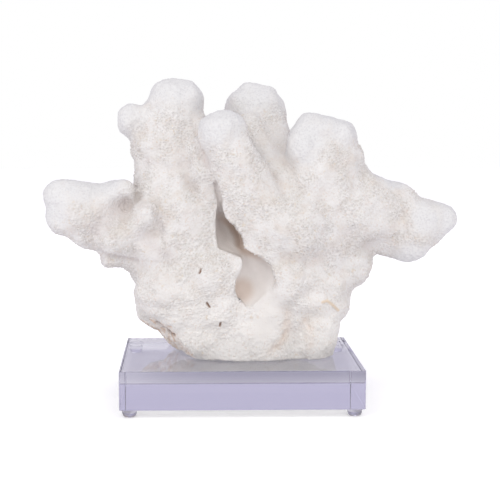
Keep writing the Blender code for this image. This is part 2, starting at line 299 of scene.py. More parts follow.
# %% Balls along the webs, and the knobs
# x, y, z and radius at places along each row of balls
WEBS = [
    [(31, 27, 190, 14), (34, 13, 174, 17), (36, -3, 160, 17), (38, -17, 149, 16), (40, -28, 137, 15)],
    [(9, 17, 196, 12), (14, 8, 183, 14), (20, -4, 170, 14), (27, -14, 158, 13)],
    [(20, 25, 194, 13), (24, 11, 179, 15), (28, -3, 165, 15), (33, -15, 153, 14)],
    [(-36, -13, 192, 11), (-34, -18, 180, 13), (-32, -22, 168, 14), (-31, -26, 158, 13)],
    [(-98, -22, 143, 10.5), (-100, -22, 142, 10)],
    [(-77, -33, 125, 9), (-86, -30, 112, 11), (-98, -26, 100, 12)],
    [(-68, -16, 42, 12), (-52, -27, 36, 14), (-34, -28.5, 38, 14), (-14, -31, 42, 14)],
    [(-72, -23, 49, 12.5), (-52, -29, 46, 14), (-33, -30, 48, 14), (-12, -32.5, 52, 14)],
    [(-74, -27, 57, 12.5), (-52, -30, 56, 14.5), (-33, -31, 58, 14.5), (-12, -34, 64, 14)],
    [(38, -27, 50, 14), (50, -27, 51, 14.5), (70, -23, 50, 14.5), (80, -19.5, 48, 13)],
    [(44, -22, 38, 15), (58, -21, 38, 15), (72, -19.5, 38, 14)],
    [(9, 36, 224, 10), (26, 36, 221, 10)],
    [(103, -14, 143, 15), (117, -7, 140, 14)],
    [(103, -19, 131, 16), (118, -12.5, 128, 16), (133, -7, 124, 15)],
    [(103, -19, 115, 16), (118, -12.5, 114, 16), (133, -7, 113, 15)],
    [(-111, -14, 84, 5.5), (-105, -18, 84, 5)],
]
BASE_DOWN = 5.0


def ball(x, y, z, radius, around=16):
    """A closed ball: centre + radius * (cos u sin v, sin u sin v, cos v), with u round the upright
    axis and v from pole to pole."""
    u = np.linspace(0, 2 * np.pi, around, endpoint=False)[None, :]
    v = np.linspace(0, np.pi, around // 2 + 1)[1:-1, None]
    rings = [np.cos(u) * np.sin(v), np.sin(u) * np.sin(v), np.cos(v) + 0 * u]
    rings = np.stack(rings, axis=-1).reshape(-1, 3)
    grid = np.arange(len(rings)).reshape(-1, around)
    beside = np.roll(grid, -1, axis=1)
    north, south = np.full(around, len(rings)), np.full(around, len(rings) + 1)
    corners = [
        np.stack([grid[:-1], grid[1:], beside[1:]], axis=-1).reshape(-1, 3),
        np.stack([grid[:-1], beside[1:], beside[:-1]], axis=-1).reshape(-1, 3),
        np.stack([north, grid[0], beside[0]], axis=-1),
        np.stack([south, beside[-1], grid[-1]], axis=-1),
    ]
    unit = np.vstack([rings, [(0, 0, 1), (0, 0, -1)]])
    return placed(unit * radius + (x, y, z)), np.vstack(corners)


balls = [ball(*row) for web in WEBS for row in denser(np.array(web, float), 4 * len(web))]
base_points, base_corners = copies[CORAL_NODES.index("coral_base")]
low_base = (base_points - (0, 0, BASE_DOWN * MM), base_corners)
print("balls:", len(balls))

# %% Fuse the copies and the fillers
parts = [*copies, low_base, (placed(filler), filler_corners), *balls]
skin = evaluated("skin", fused(parts), remesh(VOXEL))
print("skin:", len(skin.polygons), "faces of about", VOXEL, "mm")

# %% [markdown]
# ## Even out the facets
#
# The solids have facets about 6 mm wide. Averaging each point with its neighbours rounds them off,
# but plain averaging also shrinks the knobs. Taubin's way takes a step inwards and then a slightly
# longer one outwards, which removes the facets and keeps the size.

# %% Smooth without shrinking
def neighbour_mean(values, edges):
    """For each point, the sum of its neighbours' values over the edges, divided by their number."""
    total = np.zeros_like(values)
    many = np.bincount(edges.ravel(), minlength=len(values))
    for column in range(values.shape[1]):
        for near, far in ((0, 1), (1, 0)):
            total[:, column] += np.bincount(
                edges[:, near], weights=values[edges[:, far], column], minlength=len(values)
            )
    return total / many[:, None]


def evened(mesh, rounds, inwards=0.5, outwards=-0.53):
    """Moves each point part of the way to its neighbours' mean, then part of the way back."""
    points = table_of(mesh.vertices, "co", 3).astype(float)
    edges = table_of(mesh.edges, "vertices", 2, np.int32)
    for _ in range(rounds):
        for share in (inwards, outwards):
            points += share * (neighbour_mean(points, edges) - points)
    mesh.vertices.foreach_set("co", points.astype(np.float32).ravel())
    mesh.update()


evened(skin, 14)
print("evened skin spans", np.ptp(table_of(skin.vertices, "co", 3), axis=0).round(4), "m")

# %% [markdown]
# ## Carve the hollow, saw the foot and break the rim
#
# The second slab runs from well in front of the coral back to the hollow's back wall. A box takes
# what lies under the foot, and a slanting wedge breaks off the base's lower left rim, so that its
# face shows under a white edge. The skin less all three is remeshed with voxels half as large, which
# keep the new edges within a millimetre.

# %% Take the slab, the box and the wedge away
FINE_VOXEL = 1.25
ACROSS = 13
FOOT_CUT = 0.5
# The broken rim's edge in x and z, its depth, and how far it steps down and left with each mm back
RIM_EDGE = [
    (-92, 48),
    (-78.8, 35.8),
    (-73.7, 33),
    (-68, 29.2),
    (-61, 25),
    (-56, 15.5),
    (-50, 9.5),
    (-45, 4.5),
    (-40, -1),
    (-36, -6),
]
RIM_DEPTH, RIM_STEP = -22.0, np.array([-0.18, -0.21])


def carved(mesh, parts):
    """The mesh less closed shapes, each given as points in metres and triangles."""
    shape = bmesh.new()
    shape.from_mesh(fused(parts))
    bmesh.ops.recalc_face_normals(shape, faces=shape.faces)
    cutter_mesh = bpy.data.meshes.new("cutter")
    shape.to_mesh(cutter_mesh)
    shape.free()
    cutter = shown("cutter", cutter_mesh)
    made = evaluated("skin", mesh, ("BOOLEAN", {"operation": "DIFFERENCE", "object": cutter}))
    bpy.data.objects.remove(cutter)
    return made


def wedge(edge, depths, far):
    """A closed shape below an edge: at each depth y the edge is shifted by RIM_STEP times the way
    from RIM_DEPTH, and its two ends are joined to a far corner."""
    outline = np.array([*edge, far], float)
    count = len(outline)
    points = []
    for depth in depths:
        ring = outline + RIM_STEP * (depth - RIM_DEPTH)
        points.append(np.column_stack([ring[:, 0], np.full(count, depth), ring[:, 1]]))
    here = np.arange(count)
    ahead = np.roll(here, -1)
    lower_wall = np.stack([here, ahead, ahead + count], axis=1)
    upper_wall = np.stack([here, ahead + count, here + count], axis=1)
    fan = np.stack([np.full(count - 2, count - 1), here[: count - 2], ahead[: count - 2]], axis=1)
    return placed(np.vstack(points)), np.vstack([lower_wall, upper_wall, fan[:, ::-1], fan + count])


across = np.linspace(0, 1, ACROSS)
share = np.clip(1 - np.abs(2 * across - 1), 0, 1)
share = share * share * (3 - 2 * share)
side = np.where(across[None, :] < 0.5, rows[:, 6:7], rows[:, 8:9])
back_wall = side + share[None, :] * (rows[:, 7:8] - side)
in_front = np.full_like(back_wall, -100)
cutter, cutter_corners = slab_between(row_points(rows, across), in_front, back_wall)
below = np.array([[(-130, FOOT_CUT), (130, FOOT_CUT)], [(-130, -40), (130, -40)]], float)
under, under_corners = slab_between(below, np.full((2, 2), -90.0), np.full((2, 2), 90.0))
skin = carved(skin, [(placed(cutter), cutter_corners), (placed(under), under_corners)])
skin = carved(skin, [wedge(RIM_EDGE, (-80, 80), (-120, -30))])
skin = evaluated("skin", skin, remesh(FINE_VOXEL))
evened(skin, 3)
print("carved skin:", len(skin.polygons), "faces of about", FINE_VOXEL, "mm")

# %% [markdown]
# ## Where the skin is hollow and where it bulges
#
# Hollows are painted darker, as the shade that falls in them, so the colours need to know which is
# which. The skin's points are averaged many times over, which rounds off its forms: a point that
# this moves outwards lies in a hollow, and one that it moves inwards is on a bulge.

# %% Measure hollows and bulges
HOLLOW_ROUNDS = 90
WHOLE_HOLLOW = 2.2

points = table_of(skin.vertices, "co", 3).astype(float)
edges = table_of(skin.edges, "vertices", 2, np.int32)
normals = table_of(skin.vertices, "normal", 3).astype(float)
rounded = points.copy()
for _ in range(HOLLOW_ROUNDS):
    rounded += 0.5 * (neighbour_mean(rounded, edges) - rounded)
sunken = np.einsum("ij,ij->i", rounded - points, normals) / (WHOLE_HOLLOW * MM)
skin.attributes.new("sunken", "FLOAT", "POINT").data.foreach_set("value", sunken.astype(np.float32))
print("sunken from", sunken.min().round(2), "to", sunken.max().round(2))

# %% [markdown]
# ## Which branch a face belongs to
#
# The finished skin is handed on as pieces, each of which takes the place of one solid. A face goes
# to the solid that has the nearest point. Close to a saw cut the cut's own plane decides instead,
# so that a piece ends in a flat rim that a flat lid can close.

# %% Give each face the number of its branch
# The solid above a cut and the one below it, the cut's place x and z, and its angle in degrees
SAW_CUTS = [
    ("left_arm", "left_stem", -93, 112, 86.5),
    ("upper_left_branch", "left_stem", -57, 159, 15),
    ("front_branch", "right_stem", 7, 139, 45),
    ("back_branch", "right_stem", 25, 176, 15),
    ("upper_right_branch", "right_stem", 69, 155, 19.7),
    ("right_stem", "right_arm", 113, 126, 94.3),
    ("left_stem", "right_stem", 0.5, 82, 105),
    ("left_stem", "coral_base", 5, 46.3, 0),
    ("right_stem", "coral_base", 5, 46.3, 0),
]
NEAR_CUT = 20.0


def nearest_branch(middles):
    """The number of the solid nearest to each point: the least squared distance to any of the
    solids' own points, in blocks that fit in memory."""
    own = np.vstack([points for points, _ in copies]).astype(np.float32)
    number = np.repeat(np.arange(len(copies)), [len(points) for points, _ in copies])
    length = np.einsum("ij,ij->i", own, own)
    found = np.empty(len(middles), int)
    for start in range(0, len(middles), 2000):
        block = middles[start : start + 2000].astype(np.float32)
        found[start : start + 2000] = number[np.argmin(length - 2 * block @ own.T, axis=1)]
    return found


def parted(middles, branch):
    """The numbers, put right near each cut: a face of either solid goes by the sign of its height
    over the cut's plane, (x - x0) * -sin(angle) + (z - z0) * cos(angle). In front of the slot the
    stems go by the slot's middle line, because the saw didn't need to part them there."""
    x, y, z = ((middles - STAND) / MM).T
    slot = np.interp(-z, -(rows[:, 1] + rows[:, 3]) / 2, (rows[:, 0] + rows[:, 2]) / 2)
    for above, below, cut_x, cut_z, degrees in SAW_CUTS:
        angle = math.radians(degrees)
        height = (z - cut_z) * math.cos(angle) - (x - cut_x) * math.sin(angle)
        if (above, below) == ("left_stem", "right_stem"):
            height = np.where((y < -5) & (z > 113), slot - x, height)
        pair = CORAL_NODES.index(above), CORAL_NODES.index(below)
        near = np.isin(branch, pair) & (np.abs(height) < NEAR_CUT)
        branch = np.where(near, np.where(height > 0, *pair), branch)
    return branch


skin_quads = corners_of(skin, 4)
middles = points[skin_quads].mean(axis=1)
branch = parted(middles, nearest_branch(middles))
print("faces for each branch:", dict(zip(CORAL_NODES, np.bincount(branch).tolist())))

# %% Part a branch with many faces once or twice more, by height
MOST_FACES = 22_000
piece_of = np.empty(len(middles), np.int32)
PIECES = []
for number, node in enumerate(CORAL_NODES):
    own = np.flatnonzero(branch == number)
    own = own[np.argsort(middles[own, 2], kind="stable")]
    shares = np.array_split(own, math.ceil(len(own) / MOST_FACES))
    for part, share in enumerate(shares, 1):
        piece_of[share] = len(PIECES)
        PIECES.append((node, f"{node}_skin_{part}" if len(shares) > 1 else f"{node}_skin"))
skin.attributes.new("piece", "INT", "FACE").data.foreach_set("value", piece_of)
print("pieces:", [name for _, name in PIECES])

# %% [markdown]
# ## Finer faces
#
# The cups on the coral are a little over 2 mm apart. One level of subdivision gives points about
# 0.6 mm apart, which is enough to raise each cup's lip and sink its pit as real shape.

# %% Subdivide the skin
SUBDIVIDE = ("SUBSURF", {"levels": 1, "render_levels": 1})
fine = evaluated("fine", skin, SUBDIVIDE)
points = (table_of(fine.vertices, "co", 3).astype(float) - STAND) / MM
normals = table_of(fine.vertices, "normal", 3).astype(float)
quads = corners_of(fine, 4)
sunken = table_of(fine.attributes["sunken"].data, "value", 1)
piece = table_of(fine.attributes["piece"].data, "value", 1, np.int32)
print("fine skin:", len(points), "points,", 2 * len(quads), "triangles")

# %% [markdown]
# ## Numbers that look random but aren't
#
# Lumps and cups need chance, but the same chance on every run. Each cell of a cubic lattice gets its
# numbers from its own whole-number place, mixed by products and shifts until no order is left.

# %% Lattice noise and scattered centres
def scattered(cells, seed):
    """Three numbers from 0 to 1 for each cell: its three whole numbers times large odd numbers, put
    together bit by bit, stirred by shifts and products, and divided by the largest number."""
    x, y, z = (cells[:, axis].astype(np.int64).astype(np.uint32) for axis in range(3))
    mixed = x * np.uint32(73856093) ^ y * np.uint32(19349663) ^ z * np.uint32(83492791)
    mixed ^= np.uint32(seed * 40503 + 1)
    found = []
    for factor in (739982445, 695872825, 2654435769):
        mixed = (mixed ^ (mixed >> np.uint32(15))) * np.uint32(factor)
        mixed = mixed ^ (mixed >> np.uint32(12))
        found.append(mixed.astype(float) / 0xFFFFFFFF)
    return np.stack(found, axis=1)


TURN = np.array([(0.80, 0.36, -0.48), (-0.60, 0.48, -0.64), (0.0, 0.80, 0.60)])


def lumps(places, size, seed=0):
    """Noise from -1 to 1: a random number at each corner of a cubic lattice of this size, blended
    between corners with the smooth step t * t * (3 - 2 * t); the lattice is turned out of square."""
    place = places @ TURN / size
    cell = np.floor(place)
    step = place - cell
    step = step * step * (3 - 2 * step)
    total = np.zeros(len(places))
    for corner in itertools.product((0, 1), repeat=3):
        weight = np.prod(np.where(corner, step, 1 - step), axis=1)
        total += weight * scattered(cell + corner, seed)[:, 0]
    return 2 * total - 1


def nearest_centre(places, spacing, seed=0):
    """The way to the nearest of many centres, one at a random place in each cell of a lattice, and
    that centre's own random number: the least distance over a cell and its 26 neighbours."""
    place = places @ TURN / spacing
    cell = np.floor(place)
    least = np.full(len(places), np.inf)
    way = np.zeros_like(places)
    lot = np.zeros(len(places))
    for shift in itertools.product((-1, 0, 1), repeat=3):
        chance = scattered(cell + shift, seed)
        gap = cell + shift + 0.06 + 0.88 * chance - place
        distance = np.einsum("ij,ij->i", gap, gap)
        nearer = distance < least
        least[nearer] = distance[nearer]
        way[nearer] = gap[nearer]
        lot[nearer] = chance[nearer, 0]
    return way @ TURN.T * spacing, lot


def ramp(values, start, end):
    """0 before start, 1 after end, and the smooth step t * t * (3 - 2 * t) between them."""
    share = np.clip((values - start) / (end - start), 0, 1)
    return share * share * (3 - 2 * share)


def to_line(places, line):
    """The distance in the front view (x and z) to the nearest point of a line of straight runs."""
    flat = places[:, [0, 2]]
    least = np.full(len(places), np.inf)
    for start, end in zip(np.array(line[:-1], float), np.array(line[1:], float)):
        run = end - start
        share = np.clip((flat - start) @ run / (run @ run), 0, 1)
        least = np.minimum(least, np.linalg.norm(flat - start - share[:, None] * run, axis=1))
    return least


print("noise over the skin spans", np.ptp(lumps(points, 14.0)).round(2))

# %% [markdown]
# ## Where the coral is young, stained or broken
#
# The tips of a coral are its youngest part: smooth and pure white, with fine open pores, which are
# painted darker as their shade. Further down the cups stand out and the white turns warm. The
# hollow's walls are smooth and pale grey; under the plate's edge they are painted brown as shade, and
# the pocket's lower corner has a stain. There are small slits, painted dark as their shade, a worm's
# tube and a rough brown rim low on the left, whose two cavities are painted dark as shade.

# %% Places of the tips and marks
# Tips: x, y, z and how far their white reaches
TIPS = [
    (-54, 2, 232, 40),
    (-93, 2, 203, 24),
    (-158, -14, 134, 34),
    (-132, -20, 146, 26),
    (-108, -18, 148, 22),
    (-20, -48, 206, 32),
    (14, 36, 228, 38),
    (58, -26, 204, 26),
    (86, -22, 198, 24),
    (50, -32, 186, 26),
    (188, -2, 120, 34),
    (158, -12, 118, 20),
    (146, -6, 82, 24),
    (128, -2, 152, 20),
    (-48, 60, 124, 26),
    (74, 60, 140, 26),
]
SLITS = [[(-34.9, 76.2), (-33.6, 79)], [(-28.6, 50.8), (-26.4, 47.4)], [(-17.2, 34.2), (-17.7, 31.4)]]
WORM_TUBE = [(68, 50.4), (72, 51.4), (76.6, 47.9), (82, 42.4)]
CAVITIES = [[(-71, 28.5), (-68, 27)], [(-64.5, 24.5), (-58.5, 20.5)]]
CREASES = [
    [(38.8, 40), (38.2, 30), (36.2, 20), (31.5, 13.5), (25, 10)],
    [(55, 34), (56, 24), (58.5, 15)],
]
# Smooth patches: x, z, reach, the least y and how smooth
SMOOTH_PATCHES = [(19, 28, 13, -90, 1.0), (24, 50, 14, -90, 1.0), (28, 178, 24, -36, 0.5)]
# Valleys in the front: their line in x and z, their depth and how far their side reaches
VALLEYS = [
    ([(-122, 110), (-110, 121), (-98, 131)], 3.0, 7.5),
    (
        [(-92, 134), (-84, 133), (-72, 130.5), (-68.8, 123), (-67, 110), (-60.6, 99.6), (-50, 96)],
        1.5,
        3.0,
    ),
    ([(-117, 91), (-104, 88.5), (-94, 84.7), (-88, 84)], 2.6, 2.2),
    ([(65, 88), (81, 95), (90, 108)], 1.7, 6.5),
    ([(-82, 106), (-72, 98), (-62, 90)], 2.4, 6.5),
    ([(-78, 166), (-60, 163), (-46, 166)], 1.4, 4.0),
    ([(-40, 200), (-37, 180), (-28, 164)], 1.2, 3.0),
]

front = ramp(-normals[:, 1], 0.1, 0.5)
wander = lumps(points, 9.0, 5)

tip = np.zeros(len(points))
for x, y, z, reach in TIPS:
    away = np.linalg.norm(points - (x, y, z), axis=1) / reach
    tip = np.maximum(tip, 1 - ramp(away + 0.12 * wander, 0.45, 1.05))

hollow = np.zeros(len(points))
# Painted shade under the plate's edge, where it overhangs the hollow, and a stain in the pocket's
# lower corner
shade_and_stain_under_edge = np.zeros(len(points))
for left_x, left_z, right_x, right_z, left_y, right_y, *wall in rows:
    middle_x, middle_z = (left_x + right_x) / 2, (left_z + right_z) / 2
    half = math.hypot(right_x - left_x, right_z - left_z) / 2
    away = np.hypot(points[:, 0] - middle_x, points[:, 2] - middle_z)
    behind = ramp(points[:, 1], (left_y + right_y) / 2 + 3, (left_y + right_y) / 2 + 8)
    behind *= 1 - ramp(points[:, 1], max(wall) + 4, max(wall) + 9)
    hollow = np.maximum(hollow, behind * (1 - ramp(away, half, half + 2)))
    near = np.hypot(points[:, 0] - right_x, points[:, 2] - right_z)
    shade_and_stain_under_edge = np.maximum(shade_and_stain_under_edge, behind * (1 - ramp(near, 3, 8)))
shade_and_stain_under_edge *= ramp(points[:, 2], 80, 92) * (1 - ramp(points[:, 2], 114, 126))
in_corner = np.hypot(points[:, 0] - 1, points[:, 2] - 60)
shade_and_stain_under_edge = np.maximum(shade_and_stain_under_edge, 0.9 * hollow * (1 - ramp(in_corner, 5, 14)))

slit = np.zeros(len(points))
for line in SLITS:
    slit = np.maximum(slit, front * np.exp(-((to_line(points, line) / 0.7) ** 2)))
patchy = ramp(lumps(points, 4.5, 9), -0.5, 0.5)
crease = np.zeros(len(points))
for line in CREASES:
    away = (to_line(points, line) + 1.2 * wander) / 4.2
    crease = np.maximum(crease, (0.35 + 0.65 * patchy) * front * np.exp(-(away**2)))
valley = np.zeros(len(points))
for line, depth, reach in VALLEYS:
    away = (to_line(points, line) + 0.2 * reach * wander) / reach
    valley = np.maximum(valley, depth * front * np.exp(-(away**2)))
cavity = np.zeros(len(points))
for line in CAVITIES:
    cavity = np.maximum(cavity, np.exp(-((to_line(points, line) / 1.6) ** 2)))
tube_mark = front * np.exp(-((to_line(points, WORM_TUBE) / 1.25) ** 4))
edge_x, edge_z = np.array(RIM_EDGE, float).T
shift = (points[:, 1:2] - RIM_DEPTH) * RIM_STEP
past_edge = np.interp(points[:, 0] - shift[:, 0], edge_x, edge_z) - (points[:, 2] - shift[:, 1])
facing = ramp(-normals @ (0.62, 0.27, 0.73), 0.35, 0.65)
rim = (points[:, 0] < -30) * facing * ramp(past_edge, -1.6, -0.4)
cavity *= rim
patch = np.zeros(len(points))
for x, z, reach, least_y, most in SMOOTH_PATCHES:
    away = np.hypot(points[:, 0] - x, points[:, 2] - z) / reach
    behind = ramp(points[:, 1], least_y - 3, least_y + 3)
    patch = np.maximum(patch, most * behind * front * (1 - ramp(away + 0.15 * wander, 0.5, 1.1)))
worn = 1 - ramp(points[:, 2] + 6 * wander, 25, 85)
print("share of skin that is tip:", tip.mean().round(3), "hollow:", hollow.mean().round(3))

# %% [markdown]
# ## Lumps and cups
#
# Each coral animal sat in its own cup. On the sides of the branches a cup has a hood on the side
# that faces the tip, which gives the skin its grain; on the tips there is only an open pore. The
# way to the nearest centre is laid flat on the skin, and hood and pit are bells at either side of
# the centre. Softer lumps of several sizes lie under them.

# %% Raise lumps and hoods, and sink pores
CUP_SPACING = 2.4
HOOD_HEIGHT, HOOD_REACH = 1.12, 0.80
PIT_DEPTH, PIT_REACH = 0.62, 0.60
PORE_DEPTH, PORE_REACH = 0.45, 0.55
GROWS_FROM = (0, 0, 20)
SLIT_DEPTH, CREASE_DEPTH, TUBE_HEIGHT, CAVITY_DEPTH = 2.2, 0.9, 0.7, 2.2
# Lumps under the cups: their height, size and seed
SOFT_LUMPS = [(1.2, 22.0, 1), (0.85, 11.0, 2), (0.45, 5.5, 4), (0.22, 3.2, 11)]

outwards = points - GROWS_FROM
outwards -= np.einsum("ij,ij->i", outwards, normals)[:, None] * normals
outwards /= np.maximum(np.linalg.norm(outwards, axis=1, keepdims=True), 1e-6)

way, lot = nearest_centre(points, CUP_SPACING, 3)
way -= np.einsum("ij,ij->i", way, normals)[:, None] * normals


def bell(offset, reach):
    """exp(-(distance / reach) squared), where the distance is from the centre moved by the offset."""
    away = way + offset * outwards
    return np.exp(-np.einsum("ij,ij->i", away, away) / reach**2)


smooth = np.clip(hollow + 0.85 * patch, 0, 1)
body = (1 - 0.70 * tip) * (1 - smooth)
hood = bell(0.35, HOOD_REACH) * (0.3 + 1.0 * lot)
pit = bell(-0.45, PIT_REACH) * (0.4 + 0.8 * (1 - lot))
pore = bell(0.0, PORE_REACH) * ramp(lot, 0.1, 0.5)
grainy = 0.35 + 0.65 * ramp(lumps(points, 12.0, 8) + 0.5 * lumps(points, 5.0, 10), -0.55, 0.35)
cups = body * grainy * (1 - 0.45 * worn)

rise = sum(height * lumps(points, size, seed) for height, size, seed in SOFT_LUMPS)
rise *= 1 - 0.6 * tip
rise *= 1 - 0.6 * smooth
rise += cups * (HOOD_HEIGHT * hood - PIT_DEPTH * pit)
rise += body * worn * 0.32 * lumps(points, 1.8, 7)
fine_lumps = 0.34 * lumps(points, 2.2, 13) + 0.25 * lumps(points, 4.5, 14)
rise += tip * (fine_lumps - PORE_DEPTH * pore)
rise -= SLIT_DEPTH * slit + CREASE_DEPTH * crease + valley - TUBE_HEIGHT * tube_mark
rise -= rim * (0.4 + 1.5 * np.abs(lumps(points, 3.0, 6))) + CAVITY_DEPTH * cavity
rise -= SWELL
points = points + rise[:, None] * normals
lowest, highest = ((np.array(corner) - STAND) / MM for corner in solid_box)
points = np.clip(points, lowest + 0.3, highest - 0.3)
points[:, 2] = np.maximum(points[:, 2], 0.15)
print("the surface moves from", rise.min().round(2), "to", rise.max().round(2), "mm")

# %% [markdown]
# ## What the colours need to know
#
# The colour is mixed in the material's nodes, but where each colour goes follows the shapes that
# were just made. So each of these masks is stored on the mesh, as one number at each point.

# %% Masks for the colours
stained = ramp(lumps(points, 4.0, 12), -0.15, 0.55)
MASKS = {
    "tip": tip,
    # Painted shade: the tips' pores are darker
    "pore": tip * pore,
    # Painted shade: darker in the pits and low gaps between the cups
    "gap": cups * np.clip(1.15 * pit + 0.55 * (1 - hood) * (1 - lot), 0, 1),
    # Painted shade: darker where the skin lies in a hollow
    "recess_shade": ramp(sunken + 0.15 * wander, 0.05, 1.0) * (1 - 0.6 * tip),
    # Painted shade: darker along the valleys sunk into the front
    "valley": np.clip(valley / 2.4, 0, 1),
    "worn": worn,
    "patch": patch,
    "hollow": hollow,
    # Painted shade under the plate's edge, and a stain in the pocket's corner
    "shade_and_stain_under_edge": shade_and_stain_under_edge,
    "rim": rim,
    "rim_stain": rim * stained,
    # Painted shade: the rim's two cavities are coloured dark
    "cavity": cavity,
    "crease": crease,
    "worm_tube": tube_mark,
    # Painted shade: the slits are coloured dark
    "slit": np.clip(1.3 * slit, 0, 1),
}
for name, mask in MASKS.items():
    print(f"{name}: mean {mask.mean():.3f}, highest {mask.max():.2f}")

# %% [markdown]
# ## One piece for each branch
#
# Each branch's faces become a mesh of their own, and a stem with many faces becomes several. A
# piece is closed as a thin shell: its coarser faces from before the subdivision are repeated a
# little below the surface, facing inwards, and a wall runs round its rim. Neighbours share the
# points on a seam, and every point keeps the normal of the whole skin, so that no seam shows.

# %% Part the skin into closed shells
SHELL = 1.5


def whole_normals(points, quads):
    """For each point, the sum of the normals of its faces, taken as the cross product of their
    diagonals, so that larger faces count for more."""
    a, b, c, d = (points[quads[:, corner]] for corner in range(4))
    of_face = np.cross(c - a, d - b)
    total = np.zeros_like(points)
    for axis in range(3):
        weights = np.repeat(of_face[:, axis], 4)
        total[:, axis] = np.bincount(quads.ravel(), weights=weights, minlength=len(points))
    return total / np.linalg.norm(total, axis=1, keepdims=True)


def rim_of(quads):
    """The directed edges of these faces that no other of them runs along the other way."""
    ends = np.stack([quads, np.roll(quads, -1, axis=1)], axis=-1).reshape(-1, 2).astype(np.int64)
    many = ends.max() + 1
    return ends[~np.isin(ends[:, 0] * many + ends[:, 1], ends[:, 1] * many + ends[:, 0])]


def halves_of(quads):
    """Two triangles for each face of four corners."""
    return np.vstack([quads[:, [0, 1, 2]], quads[:, [0, 2, 3]]])


# The subdivided skin has the old points first, then one new point for each old edge
old_count = len(skin.vertices)
old_edges = np.sort(table_of(skin.edges, "vertices", 2, np.int32).astype(np.int64), axis=1)
old_keys = old_edges[:, 0] * old_count + old_edges[:, 1]
by_key = np.argsort(old_keys)


def point_on_edge(ends):
    """The number of the new point on each old edge."""
    ends = np.sort(ends, axis=1)
    return old_count + by_key[np.searchsorted(old_keys[by_key], ends[:, 0] * old_count + ends[:, 1])]


def shell(outer, inner):
    """Triangles of a closed shell, as numbers into all points followed by all sunken points."""
    start, end = rim_of(inner).T
    between = point_on_edge(np.stack([start, end], axis=1))
    low_start, low_end = start + len(points), end + len(points)
    wall = [(between, start, low_start), (between, low_start, low_end), (end, between, low_end)]
    wall = [np.stack(corners, axis=1) for corners in wall]
    return np.vstack([halves_of(outer), halves_of(inner[:, ::-1] + len(points)), *wall])


def branch_piece(name, node, triangles, places, normals):
    """These triangles as an object, with the skin's masks and normals."""
    used, corners = np.unique(triangles, return_inverse=True)
    mesh = mesh_of(name, placed(places[used]), corners.reshape(-1, 3))
    on_skin = used % len(points)
    for mask_name, mask in MASKS.items():
        layer = mesh.attributes.new(mask_name, "FLOAT", "POINT")
        layer.data.foreach_set("value", np.ascontiguousarray(mask[on_skin], np.float32))
    mesh.polygons.foreach_set("use_smooth", np.ones(len(mesh.polygons), bool))
    mesh.normals_split_custom_set_from_vertices(normals[on_skin] * (used < len(points))[:, None])
    made = shown(name, mesh)
    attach(made, "root")
    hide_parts(node)
    print(f"{name}: {len(mesh.polygons)} triangles")
    return made


skin_normals = whole_normals(points, quads)
places = np.vstack([points, points - SHELL * skin_normals])
coral = []
for number, (node, name) in enumerate(PIECES):
    triangles = shell(quads[piece == number], skin_quads[piece_of == number])
    coral.append(branch_piece(name, node, triangles, places, skin_normals))
bpy.data.meshes.remove(fine)

# %% [markdown]
# ## Colours and nodes
#
# Colours are written as a paint program shows them, in hex, and one function turns them to the
# linear values that the shader works in. One more adds a node with its settings and links.

# %% Helpers for materials
def linear(hex_colour):
    """sRGB hex to linear red, green, blue and alpha: c / 12.92 below 0.04045, else
    ((c + 0.055) / 1.055) to the power 2.4."""
    channels = np.array([int(hex_colour[i : i + 2], 16) / 255 for i in (1, 3, 5)])
    low, high = channels / 12.92, ((channels + 0.055) / 1.055) ** 2.4
    return (*np.where(channels < 0.04045, low, high).tolist(), 1.0)


def finish(name):
    """A new material with its node tree emptied."""
    made = bpy.data.materials.new(name)
    made.use_nodes = True
    made.node_tree.nodes.clear()
    return made, made.node_tree


def node(tree, kind, inputs=None, **settings):
    """A node of this kind. Settings are its own; inputs are its sockets, by name or number, each
    given a value or another node's output."""
    made = tree.nodes.new(kind)
    for key, value in settings.items():
        setattr(made, key, value)
    for key, value in (inputs or {}).items():
        if isinstance(value, bpy.types.NodeSocket):
            tree.links.new(value, made.inputs[key])
        else:
            made.inputs[key].default_value = value
    return made


print("warm white in linear light:", np.round(linear("#E6DED8"), 3))

# %% [markdown]
# ## Bleached coral skeleton
#
# A coral's skeleton is aragonite, chalky and never glossy. Bleached and dried, its tips are a cool
# pure white; the sides are a warm white, mottled with beige and faint pink, and the gaps between the
# cups are painted darker as their shade. A table of layers says where each colour goes: each is laid
# over the last, and each is told where by a noise or by one of the masks. Several layers paint shade:
# in the gaps, the pores, the hollows, the valleys, under the plate's edge, in the slits and in the
# rim's cavities. The finest grain is left to the bump.

# %% The coral's material
# Noises: their size in millimetres and their detail
NOISES = {
    "mottle": (26.0, 3.0),
    "stain": (13.0, 3.0),
    "blush": (7.0, 3.0),
    "fleck": (1.9, 1.0),
    "speck": (3.4, 1.0),
}
